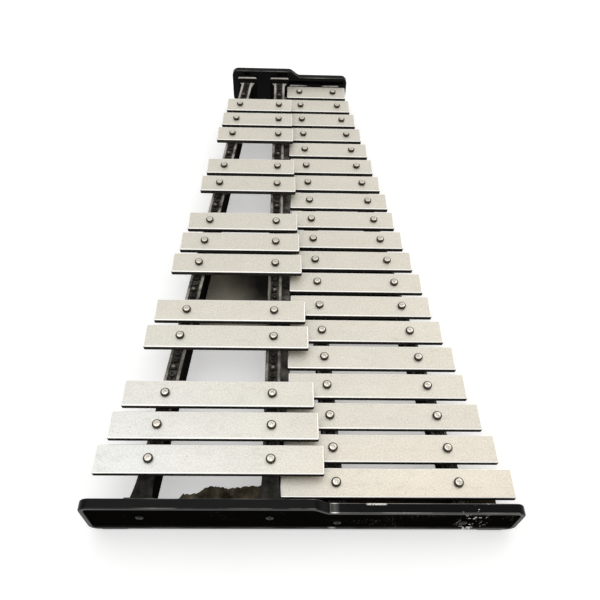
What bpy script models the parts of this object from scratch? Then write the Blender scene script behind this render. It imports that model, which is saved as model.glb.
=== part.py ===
"""Student bell kit: 32 metal tone bars in two rows on a black moulded frame.

Frame: +Y runs from the lowest bars to the highest, +X from the raised accidental row
to the natural row, +Z up. The origin is under the middle of the frame, on the surface
that its feet stand on. Lengths are in metres.
"""

import math

import bmesh
import bpy
from mathutils import Matrix

# Bars: F5 to C8, lengths fall by the same ratio at each semitone
NOTE_NAMES = ("F", "Fsharp", "G", "Gsharp", "A", "Asharp", "B", "C", "Csharp", "D", "Dsharp", "E")
BAR_COUNT = 32
LOWEST_OCTAVE = 5
LOWEST_BAR_LENGTH = 0.2115
SEMITONE_LENGTH_RATIO = 2 ** (-1 / 24)
BAR_WIDTH = 0.0278
BAR_THICKNESS = 0.006
BAR_PITCH = 0.03334
BAR_CHAMFER = 0.0008
ACCIDENTAL_RAISE = 0.0115

# Holes near each bar's two still points, as shares of the bar's length between them
NATURAL_HOLE_SPREAD = (0.524, 0.575)
ACCIDENTAL_HOLE_SPREAD = (0.532, 0.603)
BAR_HOLE_RADIUS = 0.0032
HOLE_SIDES = 12

# Clearances
FIT_GAP = 0.0003
ROW_GAP_LOW = 0.0009
ROW_GAP_HIGH = 0.0036
END_GAP = 0.0081
SLEEVE_RADIUS = 0.0026
SLEEVE_STAND = 0.0012

# Rails: inverted channels with a groove on top for the bar rest strips
RAIL_WIDTH = 0.0155
RAIL_WALL = 0.0024
RAIL_TOP_WALL = 0.0026
RAIL_GROOVE_WIDTH = 0.009
RAIL_GROOVE_DEPTH = 0.0016
RAIL_BOTTOM = 0.0085
FLANGE_GAP = 0.0012
FLANGE_THICKNESS = 0.004
FLANGE_RISE = 0.0075
LEDGE_REACH = 0.0095
LEDGE_THICKNESS = 0.003
LEDGE_BELOW_RAIL_TOP = 0.016
LEDGE_END_GAP = 0.014
STRIP_WIDTH = 0.0078
STRIP_STAND = 0.003

# End panels
PANEL_THICKNESS = 0.009
PANEL_RIM = 0.0045
PANEL_RECESS = 0.002
PANEL_CORNER = 0.009
PANEL_EDGE = 0.001
PANEL_ABOVE_NATURALS = 0.010
PANEL_STEP = 0.0095
PANEL_SLOPE = 0.018
HIGH_STEP_SHIFT = 0.0125
LOW_PANEL_OVERHANG = -0.002
HIGH_PANEL_OVERHANG = 0.009
NATURAL_TOP_ABOVE_PANEL_BOTTOM = 0.034

# Feet
FOOT_LENGTH = 0.026
FOOT_WIDTH = 0.0075
FOOT_HEIGHT = 0.003
FOOT_INSET = 0.022
FOOT_EDGE = 0.0008

# Panel screws
SCREW_HEAD_RADIUS = 0.0036
SCREW_HEAD_HEIGHT = 0.0016
SCREW_SHANK_RADIUS = 0.0018
SCREW_HOLE_RADIUS = 0.0022
SCREW_LENGTH = 0.018
SCREW_BELOW_RAIL_TOP = 0.0085
SCREW_SIDES = 16

# Cross plate under the four rails and the bottom web along the low panel
CROSS_PLATE_THICKNESS = 0.0035
CROSS_PLATE_START = 5.2
CROSS_PLATE_END = 9.4
WEB_THICKNESS = 0.0025
WEB_WORN_LENGTH = 0.082
WEB_DEPTH = 0.031
WEB_NATURAL_DEPTH = 0.026
WEB_END_INSET = 0.012

# Heights that follow from the stack
PANEL_BOTTOM = FOOT_HEIGHT
NATURAL_TOP = PANEL_BOTTOM + NATURAL_TOP_ABOVE_PANEL_BOTTOM
NATURAL_BOTTOM = NATURAL_TOP - BAR_THICKNESS
PANEL_LOW_TOP = NATURAL_TOP + PANEL_ABOVE_NATURALS
PANEL_HIGH_TOP = PANEL_LOW_TOP + PANEL_STEP


def semitone_layout():
    """List (semitone, name, is_accidental, place); place counts naturals from the low end."""
    bars = []
    naturals = 0
    for semitone in range(BAR_COUNT):
        note = NOTE_NAMES[semitone % len(NOTE_NAMES)]
        octave = LOWEST_OCTAVE + (semitone + NOTE_NAMES.index("F") + 5) // len(NOTE_NAMES)
        accidental = note.endswith("sharp")
        place = naturals - 0.5 if accidental else naturals
        naturals += 0 if accidental else 1
        bars.append((semitone, f"bar_{note}{octave}", accidental, place))
    return bars


BARS = semitone_layout()
NATURALS = [bar for bar in BARS if not bar[2]]
ACCIDENTALS = [bar for bar in BARS if bar[2]]
MIDDLE_PLACE = (len(NATURALS) - 1) / 2
INNER_FACE_Y = MIDDLE_PLACE * BAR_PITCH + BAR_WIDTH / 2 + END_GAP
RAIL_END_Y = INNER_FACE_Y - FIT_GAP


def bar_length(semitone):
    return LOWEST_BAR_LENGTH * SEMITONE_LENGTH_RATIO ** semitone


def place_y(place):
    return (place - MIDDLE_PLACE) * BAR_PITCH


def line_through(low, high):
    """Straight line x(y) through two (y, x) points."""
    slope = (high[1] - low[1]) / (high[0] - low[0])
    return lambda y: low[1] + slope * (y - low[0])


def row_geometry():
    """Rail centre lines and bar end lines, measured from the accidental inner rail."""
    low_nat, high_nat = NATURALS[0], NATURALS[-1]
    low_acc, high_acc = ACCIDENTALS[0], ACCIDENTALS[-1]
    nat_y = (place_y(low_nat[3]), place_y(high_nat[3]))
    acc_y = (place_y(low_acc[3]), place_y(high_acc[3]))
    nat_length = (bar_length(low_nat[0]), bar_length(high_nat[0]))
    acc_length = (bar_length(low_acc[0]), bar_length(high_acc[0]))
    row_gaps = (ROW_GAP_LOW, ROW_GAP_HIGH)
    lines = {name: [] for name in ("inner", "outer", "nat_inner", "nat_outer", "left", "right", "step")}
    for end in (0, 1):
        nat_left = RAIL_WIDTH / 2 + row_gaps[end]
        nat_centre = nat_left + nat_length[end] / 2
        nat_spread = NATURAL_HOLE_SPREAD[end] * nat_length[end]
        acc_spread = ACCIDENTAL_HOLE_SPREAD[end] * acc_length[end]
        lines["inner"].append((acc_y[end], 0.0))
        lines["outer"].append((acc_y[end], -acc_spread))
        lines["nat_inner"].append((nat_y[end], nat_centre - nat_spread / 2))
        lines["nat_outer"].append((nat_y[end], nat_centre + nat_spread / 2))
        lines["left"].append((acc_y[end], -acc_spread / 2 - acc_length[end] / 2))
        lines["right"].append((nat_y[end], nat_centre + nat_length[end] / 2))
        lines["step"].append((acc_y[end], -acc_spread / 2 + acc_length[end] / 2))
    return {name: line_through(*points) for name, points in lines.items()}


LINES = row_geometry()
FLANGE_WIDTH = LINES["nat_inner"](RAIL_END_Y) - LINES["inner"](RAIL_END_Y) - FLANGE_GAP
LOW_PANEL_Y = -INNER_FACE_Y - PANEL_THICKNESS / 2
HIGH_PANEL_Y = INNER_FACE_Y + PANEL_THICKNESS / 2
CENTRE_SHIFT = -(LINES["left"](LOW_PANEL_Y) + LINES["right"](LOW_PANEL_Y)) / 2


def line_x(name, y):
    """World x of a named line at y, with the low panel centred on x = 0."""
    return LINES[name](y) + CENTRE_SHIFT


RAILS = {
    "accidental_outer": ("outer", ACCIDENTAL_RAISE),
    "accidental_inner": ("inner", ACCIDENTAL_RAISE),
    "natural_inner": ("nat_inner", 0.0),
    "natural_outer": ("nat_outer", 0.0),
}
STRIP_TOP = NATURAL_BOTTOM - FIT_GAP
RAIL_TOP = STRIP_TOP - STRIP_STAND


def clear_scene():
    for obj in list(bpy.data.objects):
        bpy.data.objects.remove(obj, do_unlink=True)


def make_collection(name):
    collection = bpy.data.collections.new(name)
    bpy.context.scene.collection.children.link(collection)
    return collection


def make_material(name, color, roughness, metallic=0.0):
    material = bpy.data.materials.new(name)
    material.use_nodes = True
    shader = material.node_tree.nodes["Principled BSDF"]
    shader.inputs["Base Color"].default_value = (*color, 1.0)
    shader.inputs["Roughness"].default_value = roughness
    shader.inputs["Metallic"].default_value = metallic
    return material


def add_piece(name, mesh, location=(0, 0, 0), material=None):
    obj = bpy.data.objects.new(name, mesh)
    obj.location = location
    PARTS.objects.link(obj)
    if material:
        mesh.materials.append(material)
    return obj


def add_cutter(name, mesh, location=(0, 0, 0)):
    obj = bpy.data.objects.new(name, mesh)
    obj.location = location
    obj.hide_render = True
    obj.display_type = "WIRE"
    CUTTERS.objects.link(obj)
    return obj


def combine(target, other, operation):
    modifier = target.modifiers.new(operation.title(), "BOOLEAN")
    modifier.operation = operation
    modifier.solver = "EXACT"
    modifier.object = other


def bevel(obj, width, segments=1):
    modifier = obj.modifiers.new("Bevel", "BEVEL")
    modifier.width = width
    modifier.segments = segments
    modifier.limit_method = "ANGLE"
    modifier.angle_limit = math.radians(40)


def box_mesh(name, size):
    mesh = bpy.data.meshes.new(name)
    bm = bmesh.new()
    bmesh.ops.create_cube(bm, size=1.0, matrix=Matrix.Diagonal((*size, 1.0)))
    bm.to_mesh(mesh)
    bm.free()
    return mesh


def add_cylinder(bm, radius, low, high, centre, sides=HOLE_SIDES, axis="Z"):
    """Closed cylinder between two heights along Z, or two places along Y, at a centre."""
    turn = Matrix.Identity(4) if axis == "Z" else Matrix.Rotation(-math.pi / 2, 4, "X")
    middle = (low + high) / 2
    along = (centre[0], centre[1], middle) if axis == "Z" else (centre[0], middle, centre[1])
    bmesh.ops.create_cone(
        bm, cap_ends=True, segments=sides, radius1=radius, radius2=radius,
        depth=high - low, matrix=Matrix.Translation(along) @ turn,
    )


def mesh_of(name, fill):
    """New mesh whose shape is drawn by fill(bm)."""
    mesh = bpy.data.meshes.new(name)
    bm = bmesh.new()
    fill(bm)
    bm.to_mesh(mesh)
    bm.free()
    return mesh


def prism_mesh(name, outline, thickness):
    """Closed prism of a flat outline, centred on its own plane, from an extruded 2D curve."""
    curve = bpy.data.curves.new(name, "CURVE")
    curve.dimensions = "2D"
    curve.fill_mode = "BOTH"
    curve.extrude = thickness / 2
    spline = curve.splines.new("POLY")
    spline.points.add(len(outline) - 1)
    for point, (x, y) in zip(spline.points, outline):
        point.co = (x, y, 0, 1)
    spline.use_cyclic_u = True
    holder = bpy.data.objects.new(name, curve)
    bpy.context.scene.collection.objects.link(holder)
    bpy.context.view_layer.update()
    evaluated = holder.evaluated_get(bpy.context.evaluated_depsgraph_get())
    mesh = bpy.data.meshes.new_from_object(evaluated)
    mesh.name = name
    bpy.data.objects.remove(holder, do_unlink=True)
    bm = bmesh.new()
    bm.from_mesh(mesh)
    bmesh.ops.remove_doubles(bm, verts=bm.verts, dist=1e-6)
    bmesh.ops.dissolve_limit(bm, angle_limit=math.radians(0.5), verts=bm.verts, edges=bm.edges)
    bmesh.ops.recalc_face_normals(bm, faces=bm.faces)
    bm.to_mesh(mesh)
    bm.free()
    return mesh


def arc(centre_x, centre_y, radius, start, end, steps=4):
    """Points along an arc; angles in degrees."""
    points = []
    for step in range(steps + 1):
        angle = math.radians(start + (end - start) * step / steps)
        points.append((centre_x + radius * math.cos(angle), centre_y + radius * math.sin(angle)))
    return points


def stand_up(mesh):
    """Turn a flat prism from the XY plane so that its outline stands in XZ, seen from -Y."""
    mesh.transform(Matrix.Rotation(math.pi / 2, 4, "X"))


def build_bars(metal):
    for semitone, name, accidental, place in BARS:
        y = place_y(place)
        left, right = ("outer", "inner") if accidental else ("nat_inner", "nat_outer")
        centre_x = (line_x(left, y) + line_x(right, y)) / 2
        hole_reach = (line_x(right, y) - line_x(left, y)) / 2
        height = NATURAL_TOP + (ACCIDENTAL_RAISE if accidental else 0.0) - BAR_THICKNESS / 2
        size = (bar_length(semitone), BAR_WIDTH, BAR_THICKNESS)
        bar = add_piece(name, box_mesh(name, size), (centre_x, y, height), metal)
        bevel(bar, BAR_CHAMFER)

        def drill(bm, reach=hole_reach):
            for side in (-1, 1):
                add_cylinder(bm, BAR_HOLE_RADIUS, -BAR_THICKNESS, BAR_THICKNESS, (side * reach, 0))

        cutter = add_cutter(f"{name}_holes", mesh_of(f"{name}_holes", drill), bar.location)
        combine(bar, cutter, "DIFFERENCE")


def rail_profile(depth):
    """Channel section in (x, z), with z = 0 at the rail's top."""
    half = RAIL_WIDTH / 2
    groove = RAIL_GROOVE_WIDTH / 2
    cavity = half - RAIL_WALL
    roof = RAIL_GROOVE_DEPTH + RAIL_TOP_WALL
    return [
        (-half, -depth), (-cavity, -depth), (-cavity, -roof), (cavity, -roof),
        (cavity, -depth), (half, -depth), (half, 0), (groove, 0),
        (groove, -RAIL_GROOVE_DEPTH), (-groove, -RAIL_GROOVE_DEPTH), (-groove, 0), (-half, 0),
    ]


def slanted(mesh, line, height):
    """Shear a mesh that runs along Y so that it follows a named line at a height."""
    slope = (line_x(line, RAIL_END_Y) - line_x(line, -RAIL_END_Y)) / (2 * RAIL_END_Y)
    rows = ((1, slope, 0, line_x(line, 0)), (0, 1, 0, 0), (0, 0, 1, height), (0, 0, 0, 1))
    mesh.transform(Matrix(rows))
    return mesh


def add_ledge(line, top):
    """Flat ledge along a rail's natural side, under the inner ends of the natural bars."""
    width = LEDGE_REACH + RAIL_WALL / 2
    ledge = box_mesh(f"{line}_ledge", (width, 2 * (RAIL_END_Y - LEDGE_END_GAP), LEDGE_THICKNESS))
    middle = RAIL_WIDTH / 2 + LEDGE_REACH - width / 2
    height = top - LEDGE_BELOW_RAIL_TOP - LEDGE_THICKNESS / 2
    return add_cutter(f"{line}_ledge", slanted(ledge, line, height), (middle, 0, 0))


def build_rails(plastic):
    for name, (line, rise) in RAILS.items():
        top = RAIL_TOP + rise
        depth = top - RAIL_BOTTOM
        section = prism_mesh(f"{name}_rail", rail_profile(depth), 2 * RAIL_END_Y)
        stand_up(section)
        rail = add_piece(f"{name}_rail", slanted(section, line, top), material=plastic)
        flange_height = depth + FLANGE_RISE

        def draw_flanges(bm, line=line, top=top, flange_height=flange_height):
            for side in (-1, 1):
                y = side * (RAIL_END_Y - FLANGE_THICKNESS / 2)
                z = top + FLANGE_RISE - flange_height / 2
                size = Matrix.Diagonal((FLANGE_WIDTH, FLANGE_THICKNESS, flange_height, 1.0))
                place = Matrix.Translation((line_x(line, y), y, z))
                bmesh.ops.create_cube(bm, size=1.0, matrix=place @ size)

        def draw_screw_holes(bm, line=line, top=top):
            for side in (-1, 1):
                x = line_x(line, side * INNER_FACE_Y)
                z = top - SCREW_BELOW_RAIL_TOP
                low = min(side * RAIL_END_Y, side * (RAIL_END_Y - 2 * FLANGE_THICKNESS))
                high = low + 2 * FLANGE_THICKNESS
                spare = FLANGE_THICKNESS / 2
                add_cylinder(bm, SCREW_HOLE_RADIUS, low - spare, high + spare, (x, z), axis="Y")

        flanges = add_cutter(f"{name}_flanges", mesh_of(f"{name}_flanges", draw_flanges))
        combine(rail, flanges, "UNION")
        if name == "accidental_inner":
            combine(rail, add_ledge(line, top), "UNION")
        holes = add_cutter(f"{name}_holes", mesh_of(f"{name}_holes", draw_screw_holes))
        combine(rail, holes, "DIFFERENCE")


def build_strips(rubber):
    """Bar rest strips: a ribbon in each rail's groove, with a sleeve up through every bar."""
    for name, (line, rise) in RAILS.items():
        row = ACCIDENTALS if name.startswith("accidental") else NATURALS
        thickness = STRIP_STAND + RAIL_GROOVE_DEPTH - FIT_GAP
        length = 2 * (RAIL_END_Y - FLANGE_THICKNESS - FIT_GAP)
        ribbon = box_mesh(f"{name}_strip", (STRIP_WIDTH, length, thickness))
        top = STRIP_TOP + rise
        slanted(ribbon, line, top - thickness / 2)
        strip = add_piece(f"{name}_strip", ribbon, material=rubber)
        sleeve_top = NATURAL_TOP + rise + SLEEVE_STAND

        def draw_sleeves(bm, line=line, top=top, row=row, sleeve_top=sleeve_top):
            for bar in row:
                y = place_y(bar[3])
                add_cylinder(bm, SLEEVE_RADIUS, top - STRIP_STAND / 2, sleeve_top, (line_x(line, y), y))

        sleeves = add_cutter(f"{name}_sleeves", mesh_of(f"{name}_sleeves", draw_sleeves))
        combine(strip, sleeves, "UNION")


def step_x(y):
    """World x of the middle of a panel's step; the high panel's lies further to the right."""
    return line_x("step", y) + (HIGH_STEP_SHIFT if y > 0 else 0.0)


def panel_outline(y, overhang, inset):
    """Outline in (x, z): raised over the accidentals, lower over the naturals, round ends."""
    left = line_x("left", y) - overhang + inset
    right = line_x("right", y) + overhang - inset
    bottom = PANEL_BOTTOM + inset
    high = PANEL_HIGH_TOP - inset
    low = PANEL_LOW_TOP - inset
    radius = PANEL_CORNER - inset
    slope_start = step_x(y) - PANEL_SLOPE / 2 - inset / 2
    points = arc(left + radius, bottom + radius, radius, 270, 180)
    points += arc(left + radius, high - radius, radius, 180, 90)
    steps = 6
    for step in range(steps + 1):
        share = step / steps
        height = low + (high - low) * (1 + math.cos(math.pi * share)) / 2
        points.append((slope_start + PANEL_SLOPE * share, height))
    points += arc(right - radius, low - radius, radius, 90, 0)
    points += arc(right - radius, bottom + radius, radius, 0, -90)
    return points[::-1]


def build_panel(name, y, overhang, facing, plastic):
    """End panel at y; facing is -1 where its outer face looks to -Y, 1 where it looks to +Y."""
    body = prism_mesh(name, panel_outline(y, overhang, 0.0), PANEL_THICKNESS)
    stand_up(body)
    panel = add_piece(name, body, (0, y, 0), plastic)
    bevel(panel, PANEL_EDGE)
    recess = prism_mesh(f"{name}_recess", panel_outline(y, overhang, PANEL_RIM), PANEL_THICKNESS)
    stand_up(recess)
    recess_y = y + facing * (PANEL_THICKNESS - PANEL_RECESS)
    combine(panel, add_cutter(f"{name}_recess", recess, (0, recess_y, 0)), "DIFFERENCE")

    def draw_holes(bm):
        for line, rise in RAILS.values():
            x = line_x(line, facing * INNER_FACE_Y)
            z = RAIL_TOP + rise - SCREW_BELOW_RAIL_TOP
            reach = PANEL_THICKNESS
            add_cylinder(bm, SCREW_HOLE_RADIUS, y - reach, y + reach, (x, z), axis="Y")

    holes = add_cutter(f"{name}_holes", mesh_of(f"{name}_holes", draw_holes))
    combine(panel, holes, "DIFFERENCE")


def build_panel_screws(end, facing, steel):
    """Pan-head screws that hold each rail's flange to a panel from its recessed outer face."""
    seat = INNER_FACE_Y + PANEL_THICKNESS - PANEL_RECESS + FIT_GAP
    top = seat + SCREW_HEAD_HEIGHT
    middle = seat + SCREW_HEAD_HEIGHT / 2
    for name, (line, rise) in RAILS.items():
        place = (line_x(line, facing * INNER_FACE_Y), 0, RAIL_TOP + rise - SCREW_BELOW_RAIL_TOP)

        def draw_head(bm):
            low, high = sorted((facing * seat, facing * top))
            add_cylinder(bm, SCREW_HEAD_RADIUS, low, high, (0, 0), SCREW_SIDES, axis="Y")

        def draw_shank(bm):
            low, high = sorted((facing * (middle - SCREW_LENGTH), facing * middle))
            add_cylinder(bm, SCREW_SHANK_RADIUS, low, high, (0, 0), SCREW_SIDES, axis="Y")

        label = f"{end}_panel_screw_{name}"
        screw = add_piece(label, mesh_of(label, draw_head), place, steel)
        combine(screw, add_cutter(f"{label}_shank", mesh_of(f"{label}_shank", draw_shank), place), "UNION")


def build_feet(rubber):
    for end, y, overhang in (("low", LOW_PANEL_Y, LOW_PANEL_OVERHANG), ("high", HIGH_PANEL_Y, HIGH_PANEL_OVERHANG)):
        ends = {
            "left": line_x("left", y) - overhang + FOOT_INSET,
            "right": line_x("right", y) + overhang - FOOT_INSET,
        }
        for side, x in ends.items():
            name = f"{end}_{side}_foot"
            height = FOOT_HEIGHT - FIT_GAP
            foot = add_piece(name, box_mesh(name, (FOOT_LENGTH, FOOT_WIDTH, height)), (x, y, height / 2), rubber)
            bevel(foot, FOOT_EDGE)


def build_cross_plate(plastic):
    """Plate under the four rails, near the balance point; its ends follow the outer rails."""
    y_start = place_y(CROSS_PLATE_START)
    y_end = place_y(CROSS_PLATE_END)
    half = RAIL_WIDTH / 2
    outline = [
        (line_x("outer", y_start) - half, y_start), (line_x("nat_outer", y_start) + half, y_start),
        (line_x("nat_outer", y_end) + half, y_end), (line_x("outer", y_end) - half, y_end),
    ]
    height = RAIL_BOTTOM - FIT_GAP - CROSS_PLATE_THICKNESS / 2
    plate = add_piece("cross_plate", prism_mesh("cross_plate", outline, CROSS_PLATE_THICKNESS), (0, 0, height), plastic)
    bevel(plate, PANEL_EDGE / 2)


def build_web(plastic):
    """Bottom web along the low panel, under the rails: worn away between the accidental rails."""
    back = -INNER_FACE_Y + FIT_GAP
    turn = line_x("inner", back) - RAIL_WIDTH / 2
    right = line_x("right", back) + LOW_PANEL_OVERHANG - WEB_END_INSET
    worn_edge = ((0.0, 1.0), (0.2, 0.94), (0.4, 0.9), (0.6, 0.98), (0.76, 0.72), (0.9, 0.72), (1.0, 0.42))
    outline = [(turn - WEB_WORN_LENGTH, back), (right, back), (right, back + WEB_NATURAL_DEPTH)]
    outline.append((turn + RAIL_WIDTH, back + WEB_NATURAL_DEPTH))
    outline += [(turn - WEB_WORN_LENGTH * along, back + WEB_DEPTH * out) for along, out in worn_edge]
    height = RAIL_BOTTOM - FIT_GAP - WEB_THICKNESS / 2
    add_piece("low_end_web", prism_mesh("low_end_web", outline, WEB_THICKNESS), (0, 0, height), plastic)


def build():
    aluminium = make_material("satin_aluminium", (0.72, 0.71, 0.69), 0.42, 1.0)
    gloss = make_material("gloss_black_plastic", (0.012, 0.012, 0.013), 0.18)
    rail_plastic = make_material("rail_black_plastic", (0.03, 0.029, 0.027), 0.5)
    rubber = make_material("black_rubber", (0.02, 0.02, 0.02), 0.75)
    steel = make_material("screw_steel", (0.2, 0.2, 0.2), 0.35, 1.0)
    dusty = make_material("dusty_black_plastic", (0.06, 0.05, 0.04), 0.7)
    build_bars(aluminium)
    build_rails(rail_plastic)
    build_strips(rubber)
    build_panel("low_end_panel", LOW_PANEL_Y, LOW_PANEL_OVERHANG, -1, gloss)
    build_panel("high_end_panel", HIGH_PANEL_Y, HIGH_PANEL_OVERHANG, 1, gloss)
    build_panel_screws("low", -1, steel)
    build_panel_screws("high", 1, steel)
    build_feet(rubber)
    build_cross_plate(gloss)
    build_web(dusty)


clear_scene()
PARTS = make_collection("bell_kit")
CUTTERS = make_collection("cutters")
build()
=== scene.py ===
"""Looks for the student bell kit: metal bars, screws, ribbed strips, rails and gloss end panels.

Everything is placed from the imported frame, in metres, with +Y towards the high notes.
"""

import math
import random

import bmesh
import bpy
from mathutils import Matrix, Vector


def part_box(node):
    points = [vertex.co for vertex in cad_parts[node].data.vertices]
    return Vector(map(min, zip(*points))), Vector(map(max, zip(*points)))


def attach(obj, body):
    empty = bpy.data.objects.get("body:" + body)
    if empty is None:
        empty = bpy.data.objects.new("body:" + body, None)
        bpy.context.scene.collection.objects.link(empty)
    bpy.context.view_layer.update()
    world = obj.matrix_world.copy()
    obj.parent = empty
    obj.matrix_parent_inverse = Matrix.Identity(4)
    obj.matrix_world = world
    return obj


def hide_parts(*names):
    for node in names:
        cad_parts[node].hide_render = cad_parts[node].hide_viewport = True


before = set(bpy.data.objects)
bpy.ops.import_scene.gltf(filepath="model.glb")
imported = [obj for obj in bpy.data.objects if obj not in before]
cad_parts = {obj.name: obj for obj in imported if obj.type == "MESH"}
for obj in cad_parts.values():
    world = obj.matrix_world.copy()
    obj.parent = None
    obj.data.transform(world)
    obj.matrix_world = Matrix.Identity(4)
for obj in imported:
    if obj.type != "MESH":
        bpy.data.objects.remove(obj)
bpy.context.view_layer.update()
RANDOM = random.Random(4117)

RAIL_NAMES = ("accidental_outer", "accidental_inner", "natural_inner", "natural_outer")
BAR_NAMES = sorted(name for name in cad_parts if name.startswith("bar_"))
NATURAL_NAMES = [name for name in BAR_NAMES if "sharp" not in name]
ACCIDENTAL_NAMES = [name for name in BAR_NAMES if "sharp" in name]

# Bars and the screws that hold them
BAR_EDGE = 0.0011
BAR_CORNER = 0.0014
BAR_HOLE_RADIUS = 0.0032
SLEEVE_RADIUS = 0.0026
SLEEVE_STAND = 0.0012
BAR_SCREW_RADIUS = 0.0045
BAR_SCREW_HEIGHT = 0.0021
BAR_SCREW_SHANK = 0.0016
BAR_SCREW_DEPTH = 0.013
BAR_SCREW_LEAN = math.radians(1.5)

# Panel screws, and the arm, width and depth of the cross recess in each kind of screw
PANEL_SCREW_HEAD = 0.0016
PANEL_SCREW_SHANK = 0.0018
PANEL_SCREW_RECESS = (0.0019, 0.00042, 0.0011)
BAR_SCREW_RECESS = (0.0021, 0.0005, 0.0011)

# Rails
RAIL_HALF_WIDTH = 0.00775
RAIL_WALL = 0.0024
RAIL_GROOVE_HALF = 0.0045
RAIL_GROOVE_DEPTH = 0.0016
RAIL_ROOF = 0.0042
RAIL_EDGE = 0.0009
FLANGE_THICKNESS = 0.004
FLANGE_CORNER = 0.0022
FLANGE_EDGE = 0.0008
GUSSET_REACH = 0.0105
GUSSET_EDGE = 0.0003
GUSSET_SINK = 0.0006
GUSSET_BELOW_RAIL_TOP = 0.0006
GUSSET_SHORTER_THAN_RAIL = 0.004
GUSSET_FLANGE_MARGIN = 0.0012
END_BLOCK_LENGTH = 0.027
END_BLOCK_WIDTH = 0.0225
END_BLOCK_HEIGHT = 0.012
END_BLOCK_ABOVE_RAIL = 0.0006
END_BLOCK_EDGE = 0.0009
END_BLOCK_FRONT_GAP = 0.001
LEDGE_REACH = 0.0095
LEDGE_THICKNESS = 0.003
LEDGE_CORNER = 0.002
LEDGE_EDGE = 0.0006
LEDGE_SINK = 0.001
LEDGE_BELOW_RAIL_TOP = 0.016
LEDGE_END_GAP = 0.014

# Strips, and the studs that stand in them where a bar is missing
STRIP_STAND = 0.003
FIT_GAP = 0.0003
STRIP_HALF_WIDTH = 0.0039
RIBBON_ABOVE_RAIL = 0.0004
RIBBON_EDGE = 0.0006
NUB_RADIUS = 0.0031
NUBS_PER_PITCH = 4
NUB_END_GAP = 0.004
ROOT_DEPTH = 0.0005
STUD_RADIUS = 0.0024
STUD_END_GAP = 0.005
STUD_SINK = 0.0006
STUD_PROFILE = (
    (0.0012, -0.004), (0.0012, 0.0), (0.0021, 0.0004), (STUD_RADIUS, 0.0012),
    (0.0021, 0.002), (0.0013, 0.0025), (0.0004, 0.0026),
)

# Panels
PANEL_CORNER = 0.009
PANEL_RIM = 0.0045
PANEL_RECESS = 0.002
PANEL_ROUND = 0.0013
PANEL_LIP = 0.0007
PANEL_COVE = 0.0009
PANEL_STEP_HALF = 0.0085

# Parts of a panel's CAD outline: its low right end, its left corner, and a margin at the step
PANEL_LOW_PART = 0.03
PANEL_LEFT_PART = 0.02
STEP_MARGIN = 0.0015

# Marks on the low end panel, by their place along it: paint splashes, a painted glint at the step's
# foot and a pale streak
SPLASH_X = 0.151
STEP_FOOT_X = 0.0252
STREAK_X = 0.0617

# Flat pieces; the tear gives the web's depth by the share of the way to its left end
FOOT_CORNER = 0.0024
FOOT_EDGE = 0.0007
CROSS_PLATE_CORNER = 0.005
CROSS_PLATE_EDGE = 0.0008
WEB_EDGE = 0.0003
WEB_NATURAL_SHARE = 0.84
WEB_TEAR = ((0.0, 1.0), (0.2, 0.94), (0.4, 0.9), (0.6, 0.98), (0.76, 0.72), (0.9, 0.72), (1.0, 0.42))
WEB_RAGGED = 0.06

# Studio; the camera's place is counted from the middle of the lowest bar, over the inner rail
FLOOR_HALF = 6.0
SKY_STOPS = ((0.0, 1.1), (0.3, 1.0), (0.5, 0.8), (0.75, 0.8), (1.0, 0.9))
SKY_TINT = (1.0, 0.995, 0.985)
CAMERA_LENS = 37.202
CAMERA_SENSOR = 36.0
CAMERA_PLACE = (0.00927, -0.21242, 0.5391)
CAMERA_TURN = (0.6613, -0.029187, -0.007122)


def place_of(node):
    low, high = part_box(node)
    return (low + high) / 2, high - low


def extreme_points(node, sign):
    """Vertices of a CAD node at its lowest (-1) or highest (1) y."""
    points = [v.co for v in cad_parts[node].data.vertices]
    limit = max(sign * p.y for p in points)
    return [p for p in points if sign * p.y > limit - 1e-5]


def straight_line(node):
    """Centre line x(y) of a CAD node that runs along Y."""
    ends = []
    for sign in (-1, 1):
        points = extreme_points(node, sign)
        xs = [p.x for p in points]
        ends.append((points[0].y, (min(xs) + max(xs)) / 2))
    slope = (ends[1][1] - ends[0][1]) / (ends[1][0] - ends[0][0])
    return lambda y: ends[0][1] + slope * (y - ends[0][0])


RAIL_LINES = {name: straight_line(f"{name}_strip") for name in RAIL_NAMES}
NATURAL_PLACES = sorted(place_of(name)[0].y for name in NATURAL_NAMES)
BAR_PITCH = (NATURAL_PLACES[-1] - NATURAL_PLACES[0]) / (len(NATURAL_PLACES) - 1)
RAIL_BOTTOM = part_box("natural_outer_rail")[0].z


def row_over(rail):
    """The bars over a rail, and the heights of their tops and undersides."""
    names = ACCIDENTAL_NAMES if rail.startswith("accidental") else NATURAL_NAMES
    low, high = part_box(names[0])
    return names, high.z, low.z


ROWS = {rail: row_over(rail) for rail in RAIL_NAMES}


# ---------------------------------------------------------------- meshes


def shade(mesh, angle=10):
    """Smooth shading that keeps every edge of more than the angle, in degrees, hard."""
    for face in mesh.polygons:
        face.use_smooth = True
    mesh.set_sharp_from_angle(angle=math.radians(angle))
    return mesh


def tidy_mesh(mesh):
    bm = bmesh.new()
    bm.from_mesh(mesh)
    bmesh.ops.remove_doubles(bm, verts=bm.verts, dist=1e-6)
    bmesh.ops.recalc_face_normals(bm, faces=bm.faces)
    bm.to_mesh(mesh)
    bm.free()
    return mesh


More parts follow.
